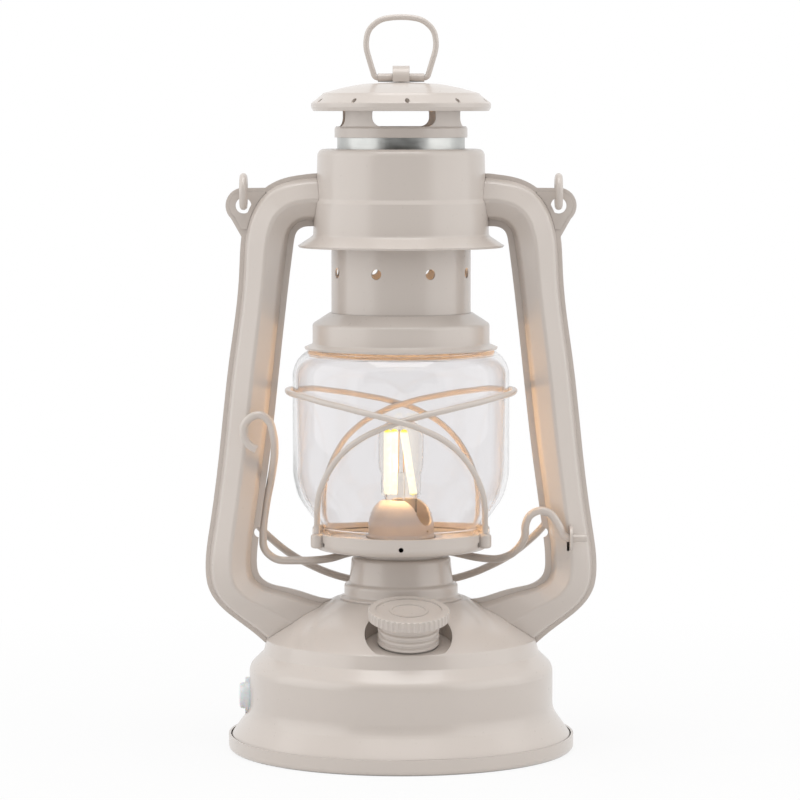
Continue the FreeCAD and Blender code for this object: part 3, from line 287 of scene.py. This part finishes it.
def paint_material():
    """Cream enamel: a soft gloss with fine orange peel, and painted shade that darkens the tight
    joints.
    """
    shader = Shader("cream_paint")
    tone = shader.noise(scale=34, detail=3)
    peel = shader.noise(scale=900, detail=2)
    swell = shader.noise(scale=70, detail=1)
    # Painted shade: ambient occlusion finds tight joints and creases, and the paint's colour is
    # darkened there
    corner = shader.node("AmbientOcclusion", {"samples": 6}, Distance=PAINTED_SHADE_REACH)
    unshaded_share = shader.between(corner.outputs["AO"], low=0.0, high=1.0, start=0.22, end=0.58)
    enamel = shader.blend(tone, PAINT_DEEP, PAINT_COLOUR)
    edge = shader.node("Bevel", {"samples": 4}, Radius=EDGE_ROUND)
    normal = shader.bump(swell, distance=0.00005, strength=0.5, normal=edge.outputs["Normal"])
    normal = shader.bump(peel, distance=0.000002, strength=0.6, normal=normal)
    surface = shader.node(
        "BsdfPrincipled",
        # Base colour: the enamel, blended towards the painted shade colour where the joints are
        # occluded
        Base_Color=shader.blend(unshaded_share, PAINTED_SHADE_COLOUR, enamel),
        Roughness=shader.between(peel, low=0.26, high=0.31),
        Coat_Weight=0.3,
        Coat_Roughness=0.10,
        Normal=normal,
    )
    return shader.finish(surface.outputs["BSDF"])


def zinc_material():
    """Bare galvanised sheet with its clouded crystals and the scratches of sliding."""
    shader = Shader("zinc")
    cloud = shader.noise(scale=120, detail=4)
    wide = shader.node("Mapping", Vector=shader.place(), Scale=(0.12, 0.12, 3.0))
    streak = shader.noise(scale=900, detail=3, vector=wide.outputs["Vector"])
    dents = shader.noise(scale=160, detail=1)
    normal = shader.bump(dents, distance=0.0004, strength=0.6)
    normal = shader.bump(streak, distance=0.00003, strength=0.5, normal=normal)
    surface = shader.node(
        "BsdfPrincipled",
        Base_Color=shader.blend(cloud, ZINC_DEEP, ZINC_COLOUR),
        Metallic=1.0,
        Roughness=shader.between(streak, low=0.24, high=0.44),
        Normal=normal,
    )
    return shader.finish(surface.outputs["BSDF"])


def steel_material():
    """Plain plated steel of screws, shaft and socket shell."""
    shader = Shader("plated_steel")
    grain = shader.noise(scale=1500, detail=3)
    surface = shader.node(
        "BsdfPrincipled",
        Base_Color=(*STEEL_COLOUR, 1),
        Metallic=1.0,
        Roughness=shader.between(grain, low=0.24, high=0.40),
        Normal=shader.bump(grain, distance=0.00002, strength=0.4),
    )
    return shader.finish(surface.outputs["BSDF"])


def glass_surface(shader, colour, normal):
    """Clear glass that lets light through to what it holds."""
    glass = shader.node(
        "BsdfPrincipled",
        Base_Color=(*colour, 1),
        Roughness=0.0,
        IOR=1.47,
        Transmission_Weight=1.0,
        Normal=normal,
    )
    clear = shader.node("BsdfTransparent", Color=(*colour, 1))
    path = shader.node("LightPath")
    lit = shader.math("MAXIMUM", path.outputs["Is Shadow Ray"], path.outputs["Is Diffuse Ray"])
    return shader.mixed(lit, glass.outputs["BSDF"], clear.outputs["BSDF"])


def globe_glass_material():
    """Blown glass of the globe, with the slow waves that blowing leaves."""
    shader = Shader("globe_glass")
    waves = shader.noise(scale=26, detail=1)
    normal = shader.bump(waves, distance=0.0004, strength=0.5)
    return shader.finish(glass_surface(shader, GLASS_COLOUR, normal))


def bulb_glass_material():
    """Thin clear glass of the bulb."""
    shader = Shader("bulb_glass")
    waves = shader.noise(scale=80, detail=1)
    normal = shader.bump(waves, distance=0.0002, strength=0.4)
    return shader.finish(glass_surface(shader, BULB_COLOUR, normal))


def filament_material():
    """Glowing phosphor: white all along, and yellow at the heads and the right bar's foot."""
    shader = Shader("glowing_phosphor")
    low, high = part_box("led_filaments")
    spot = shader.node("SeparateXYZ", Vector=shader.place())
    height = spot.outputs["Z"]
    head = high.z + FILAMENT_HEAD_RISE
    tip = FILAMENT_RADIUS
    at_right = shader.between(spot.outputs["X"], low=0.0, high=1.0, start=tip, end=2 * tip)
    near_foot = shader.between(height, low=1.0, high=0.0, start=low.z + tip / 2, end=low.z + tip)
    near_head = shader.between(height, low=0.0, high=1.0, start=head - tip, end=head - tip / 2)
    right_foot = shader.math("MULTIPLY", near_foot, at_right)
    ends = shader.math("MAXIMUM", right_foot, near_head)
    beads = shader.noise(scale=700, detail=1)
    surface = shader.node(
        "BsdfPrincipled",
        Base_Color=(*PHOSPHOR_COLOUR, 1),
        Roughness=0.8,
        Emission_Color=shader.blend(ends, CORE_COLOUR, TIP_COLOUR),
        Emission_Strength=shader.between(beads, low=1.2, high=1.8),
    )
    return shader.finish(surface.outputs["BSDF"])


def copper_material():
    """Thin bare wire, tarnished in places."""
    shader = Shader("lead_wire")
    tarnish = shader.noise(scale=1800, detail=2)
    surface = shader.node(
        "BsdfPrincipled",
        Base_Color=(*COPPER_COLOUR, 1),
        Metallic=1.0,
        Roughness=shader.between(tarnish, low=0.22, high=0.42),
    )
    return shader.finish(surface.outputs["BSDF"])


def plastic_material(name, colour, low, high, grain, see_through=0.0):
    """Moulded plastic with a fine grain, and how rough it is at least and at most."""
    shader = Shader(name)
    speck = shader.noise(scale=grain, detail=2)
    surface = shader.node(
        "BsdfPrincipled",
        Base_Color=(*colour, 1),
        Roughness=shader.between(speck, low, high),
        Subsurface_Weight=see_through,
        Subsurface_Scale=0.003,
        Normal=shader.bump(speck, distance=0.00002, strength=0.4),
    )
    return shader.finish(surface.outputs["BSDF"])


def board_material():
    """Green board with paler copper runs under its lacquer."""
    shader = Shader("board")
    runs = shader.node("TexBrick", Vector=shader.place(), Scale=260.0)
    runs.inputs["Color1"].default_value = (*BOARD_COLOUR, 1)
    runs.inputs["Color2"].default_value = (*BOARD_DEEP, 1)
    runs.inputs["Mortar"].default_value = (*BOARD_RUN_COLOUR, 1)
    surface = shader.node("BsdfPrincipled", Base_Color=runs.outputs["Color"], Roughness=0.3)
    return shader.finish(surface.outputs["BSDF"])


def materials():
    """One material for each finish, and one for the lead wires."""
    return {
        "paint": paint_material(),
        "zinc": zinc_material(),
        "steel": steel_material(),
        "globe_glass": globe_glass_material(),
        "bulb_glass": bulb_glass_material(),
        "filament": filament_material(),
        "lead_wire": copper_material(),
        "plug": plastic_material(
            "milky_plug", PLUG_COLOUR, low=0.28, high=0.40, grain=600, see_through=0.35,
        ),
        "black_plastic": plastic_material(
            "black_plastic", BLACK_COLOUR, low=0.38, high=0.52, grain=1400,
        ),
        "white_plastic": plastic_material(
            "white_plastic", WHITE_COLOUR, low=0.34, high=0.46, grain=1200,
        ),
        "cell_wrap": plastic_material(
            "cell_wrap", WRAP_COLOUR, low=0.20, high=0.30, grain=300,
        ),
        "board": board_material(),
    }


def linked(name, data):
    """An object of the scene that holds this mesh, light or camera."""
    made = bpy.data.objects.new(name, data)
    bpy.context.scene.collection.objects.link(made)
    return made


def dress(made):
    """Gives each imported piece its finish; glass casts no shadow."""
    finish_of = {node: "paint" for node in PAINTED}
    for finish, nodes in FINISHES.items():
        finish_of.update({node: finish for node in nodes})
    for name, piece in frame["nodes"].items():
        piece.data.materials.clear()
        piece.data.materials.append(made[finish_of[name]])
        piece.visible_shadow = "glass" not in finish_of[name]


def new_piece(name, mesh, material):
    """A modelled piece of the lantern's fixed body."""
    mesh.materials.append(material)
    piece = linked(name, mesh)
    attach(piece, body_of(frame["nodes"]["tank_shell"])[0])
    return piece


def turned_rod(form, start, end, profile, sides):
    """Adds a turned rod, and gives its faces: the profile lists how far along, and how thick."""
    axis = (end - start).normalized()
    side = axis.cross(Vector((0, 1, 0))).normalized()
    front = axis.cross(side)
    rings = []
    for along, radius in profile:
        ring = []
        for turn in range(sides):
            angle = 2 * math.pi * turn / sides
            outward = math.cos(angle) * side + math.sin(angle) * front
            ring.append(form.verts.new(start + axis * along + radius * outward))
        rings.append(ring)
    faces = [form.faces.new(list(reversed(rings[0]))), form.faces.new(rings[-1])]
    for lower, upper in zip(rings, rings[1:]):
        for turn in range(sides):
            after = (turn + 1) % sides
            faces.append(form.faces.new((lower[turn], lower[after], upper[after], upper[turn])))
    return faces


def round_ended(length, radius, steps):
    """The profile of a rod whose ends are half balls."""
    foot = []
    for step in range(1, steps + 1):
        angle = math.pi / 2 * step / steps
        foot.append((radius * (1 - math.cos(angle)), radius * math.sin(angle)))
    return foot + [(length - along, wide) for along, wide in reversed(foot)]


def smooth_mesh(name, form):
    """A mesh from the form, shaded smooth."""
    mesh = bpy.data.meshes.new(name)
    form.to_mesh(mesh)
    form.free()
    mesh.shade_smooth()
    return mesh


def filaments(made):
    """Three coated filaments, two at the left and one that leans, and the wires to the heads."""
    low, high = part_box("led_filaments")
    foot_z = low.z
    head_z = high.z + FILAMENT_HEAD_RISE
    bars = bmesh.new()
    rows = (
        (LEFT_FOOT_X, LEFT_HEAD_X, 0),
        (REAR_FOOT_X, REAR_HEAD_X, REAR_Y),
        (RIGHT_FOOT_X, RIGHT_HEAD_X, 0),
    )
    for foot_x, head_x, depth in rows:
        foot = Vector((foot_x, depth, foot_z))
        head = Vector((head_x, depth, head_z))
        profile = round_ended((head - foot).length, FILAMENT_RADIUS, FILAMENT_END_STEPS)
        turned_rod(bars, foot, head, profile, FILAMENT_SIDES)
    glowing = new_piece("glowing_filaments", smooth_mesh("glowing_filaments", bars),
                        made["filament"])
    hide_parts("led_filaments")
    wires = bmesh.new()
    for side in (-1, 1):
        foot = Vector((side * LEAD_FOOT_X, 0, foot_z))
        head = Vector((side * LEAD_HEAD_X, 0, head_z))
        length = (head - foot).length
        turned_rod(wires, foot, head, [(0, LEAD_RADIUS), (length, LEAD_RADIUS)], LEAD_SIDES)
    new_piece("lead_wires", smooth_mesh("lead_wires", wires), made["lead_wire"])


def bulb_envelope(made):
    """The clear bulb: a wide crown, a shoulder, a waist, and the throat that stands in its base."""
    low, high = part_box("led_bulb")
    flare = BULB_WAIST_RADIUS - BULB_NECK_RADIUS
    crown_foot = high.z - BULB_CROWN
    outer = [
        (low.z, BULB_NECK_RADIUS),
        (BULB_THROAT_Z - flare, BULB_NECK_RADIUS),
        (BULB_THROAT_Z, BULB_WAIST_RADIUS),
        (BULB_WAIST_Z, BULB_WAIST_RADIUS),
        (BULB_SHOULDER_Z, BULB_RADIUS),
        (crown_foot, BULB_RADIUS),
    ]
    for step in range(1, BULB_STEPS):
        angle = math.pi / 2 * step / BULB_STEPS
        outer.append((crown_foot + BULB_CROWN * math.sin(angle), BULB_RADIUS * math.cos(angle)))
    shrink = 1 - BULB_WALL / BULB_RADIUS
    inner = [(max(low.z + BULB_WALL, crown_foot + (height - crown_foot) * shrink), radius * shrink)
             for height, radius in outer]
    shell = bmesh.new()
    for profile in (outer, inner):
        along = [(height - low.z, radius) for height, radius in profile]
        wall = turned_rod(shell, Vector((0, 0, low.z)), Vector((0, 0, high.z)), along, BULB_SIDES)
    bmesh.ops.reverse_faces(shell, faces=wall)
    mesh = smooth_mesh("bulb_envelope", shell)
    envelope = new_piece("bulb_envelope", mesh, made["bulb_glass"])
    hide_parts("led_bulb")
    envelope.visible_shadow = False


def flange_sheet(node):
    """The front face of a tube's flange, taken from its half shell and joined up."""
    form = bmesh.new()
    form.from_mesh(frame["nodes"][node].data)
    away = [face for face in form.faces if face.normal.y > FLANGE_FACING
            or abs(face.calc_center_median().y - FLANGE_LEVEL) > FLANGE_LEVEL_SLACK]
    bmesh.ops.delete(form, geom=away, context="FACES")
    bmesh.ops.remove_doubles(form, verts=form.verts, dist=FLANGE_JOIN)
    inside = [point for point in form.verts if not point.is_boundary]
    bmesh.ops.dissolve_verts(form, verts=inside)
    bmesh.ops.triangulate(form, faces=form.faces)
    return form


def inward(edge):
    """An edge's middle, and the direction from it into the sheet, in the sheet's plane."""
    first, second = edge.verts
    along = (second.co - first.co).normalized()
    across = Vector((-along.z, 0, along.x))
    middle = (first.co + second.co) / 2
    if across.dot(edge.link_faces[0].calc_center_median() - middle) < 0:
        across = -across
    return middle, across


def free_rims(form, node):
    """The sheet's edges with open air beyond them, without the small round holes."""
    shell = bmesh.new()
    shell.from_mesh(frame["nodes"][node].data)
    walls = BVHTree.FromBMesh(shell)
    half_thick = FLANGE_LEVEL / 2
    left = []
    for edge in form.edges:
        if edge.is_boundary:
            middle, across = inward(edge)
            beyond = middle - across * FLANGE_PROBE
            beyond.y = half_thick
            nearest, normal, _, _ = walls.find_nearest(beyond)
            if (beyond - nearest).dot(normal) > 0:
                left.append(edge)
    shell.free()
    kept = []
    while left:
        run = [left.pop()]
        for edge in run:
            for other in [touching for end in edge.verts for touching in end.link_edges]:
                if other in left:
                    left.remove(other)
                    run.append(other)
        if sum(edge.calc_length() for edge in run) > FLANGE_HOLE_LOOP:
            kept += run
    return kept


def rim_shifts(form, node):
    """Which way each of the sheet's points on a free rim moves inward."""
    shifts = {}
    for edge in free_rims(form, node):
        across = inward(edge)[1]
        for end in edge.verts:
            shifts[end] = shifts.get(end, Vector()) + across
    return shifts


def ear_step(name, node, side, material):
    """The front half shell's ear is smaller than the rear one's, so its edge stands as a step."""
    form = flange_sheet(node)
    for end, shift in rim_shifts(form, node).items():
        end.co += shift.normalized() * EAR_INSET
    below = ((0, 0, EAR_STEP_FOOT), (0, 0, -1))
    inside = ((side * EAR_STEP_START, 0, 0), (-side, 0, 0))
    for place, away in (below, inside):
        parts = list(form.verts) + list(form.edges) + list(form.faces)
        bmesh.ops.bisect_plane(form, geom=parts, plane_co=place, plane_no=away, clear_outer=True)
    for end in form.verts:
        end.co.y = FLANGE_LEVEL - EAR_STEP
    mesh = bpy.data.meshes.new(name)
    form.to_mesh(mesh)
    form.free()
    piece = new_piece(name, mesh, material)
    thick = piece.modifiers.new("thickness", "SOLIDIFY")
    thick.thickness = EAR_STEP + FLANGE_LEVEL_SLACK
    thick.offset = -1


def world():
    """Even pale surroundings, seen as white."""
    shader = Shader("studio", bpy.data.worlds)
    strength = shader.between(shader.seen(), low=WORLD_LIGHT, high=1.0)
    background = shader.node("Background", Color=(1, 1, 1, 1), Strength=strength)
    made = shader.finish(background.outputs["Background"], "OutputWorld")
    bpy.context.scene.world = made


def flat_piece(name, corners, material):
    """A stage piece with one face."""
    mesh = bpy.data.meshes.new(name)
    mesh.from_pydata(corners, [], [(0, 1, 2, 3)])
    mesh.materials.append(material)
    piece = linked(name, mesh)
    return piece


def floor():
    """A pale floor that burns out to white and keeps the lantern's soft shadow."""
    half = FLOOR_HALF
    shader = Shader("floor")
    diffuse = shader.node("BsdfDiffuse", Color=(FLOOR_TONE, FLOOR_TONE, FLOOR_TONE, 1))
    glow = shader.node("Emission", Color=(1, 1, 1, 1), Strength=1.0)
    away = shader.node("VectorMath", {"operation": "LENGTH"}, Vector=shader.place())
    share = shader.between(away.outputs["Value"], low=FLOOR_GLOW_SHARE, high=1.0,
                           start=FLOOR_SHADE_NEAR, end=FLOOR_SHADE_FAR)
    share = shader.math("MULTIPLY", share, shader.seen())
    surface = shader.mixed(share, diffuse.outputs["BSDF"], glow.outputs["Emission"])
    corners = [(-half, -half, 0), (half, -half, 0), (half, half, 0), (-half, half, 0)]
    flat_piece("floor", corners, shader.finish(surface))


def dark_card():
    """A dark card behind the camera, which shows only in the gloss of the lantern's front."""
    shader = Shader("dark_card")
    surface = shader.node("BsdfDiffuse", Color=(CARD_TONE, CARD_TONE, CARD_TONE, 1))
    half = CARD_HALF_WIDTH
    corners = [
        (-half, -CARD_REACH, 0),
        (half, -CARD_REACH, 0),
        (half, -CARD_REACH, CARD_HEIGHT),
        (-half, -CARD_REACH, CARD_HEIGHT),
    ]
    card = flat_piece("dark_card", corners, shader.finish(surface.outputs["BSDF"]))
    card.visible_camera = False
    card.visible_diffuse = False
    card.visible_shadow = False
    card.visible_transmission = False


def softbox(name, place, size, power):
    """A large area light that faces the middle of the lantern."""
    light = bpy.data.lights.new(name, "AREA")
    light.shape = "RECTANGLE"
    light.size, light.size_y = size
    light.energy = power
    lamp = linked(name, light)
    lamp.location = place
    middle = (Vector(cad_box[0]) + Vector(cad_box[1])) / 2
    lamp.rotation_euler = (middle - Vector(place)).to_track_quat("-Z", "Y").to_euler()
    lamp.visible_camera = False
    lamp.visible_transmission = False


def glow_lamp(name, place):
    """A small warm lamp that stands for the filaments' light."""
    light = bpy.data.lights.new(name, "POINT")
    light.energy = BULB_LAMP_POWER
    light.color = LAMP_COLOUR
    light.shadow_soft_size = BULB_LAMP_RADIUS
    lamp = linked(name, light)
    lamp.location = place
    lamp.visible_camera = False
    lamp.visible_transmission = False
    lamp.visible_glossy = False


def lights():
    """Soft boxes at both sides and above, and the warm light of the bulb."""
    reach, front, height = SIDE_BOX_PLACE
    softbox("left_box", (-reach, front, height), SIDE_BOX_SIZE, LEFT_POWER)
    softbox("right_box", (reach, front, height), SIDE_BOX_SIZE, RIGHT_POWER)
    softbox("top_box", TOP_BOX_PLACE, TOP_BOX_SIZE, TOP_POWER)
    low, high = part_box("led_filaments")
    middle = (low + high) / 2
    head = Vector((middle.x, middle.y, high.z))
    glow_lamp("filament_light_middle", middle)
    glow_lamp("filament_light_head", head)


def camera():
    """The camera of the photograph."""
    data = bpy.data.cameras.new("camera")
    data.sensor_width = SENSOR_WIDTH
    data.lens = FOCAL_PIXELS / PHOTO_SIDE * SENSOR_WIDTH
    made = linked("camera", data)
    made.location = CAMERA_PLACE
    made.rotation_euler = (math.pi / 2 - CAMERA_PITCH, 0, 0)
    bpy.context.scene.camera = made


bpy.context.scene.view_settings.view_transform = "Standard"
camera()
world()
floor()
dark_card()
lights()
finishes = materials()
dress(finishes)
filaments(finishes)
bulb_envelope(finishes)
ear_step("right_ear_step", "right_tube_front", 1, finishes["paint"])
ear_step("left_ear_step", "left_tube_front", -1, finishes["paint"])
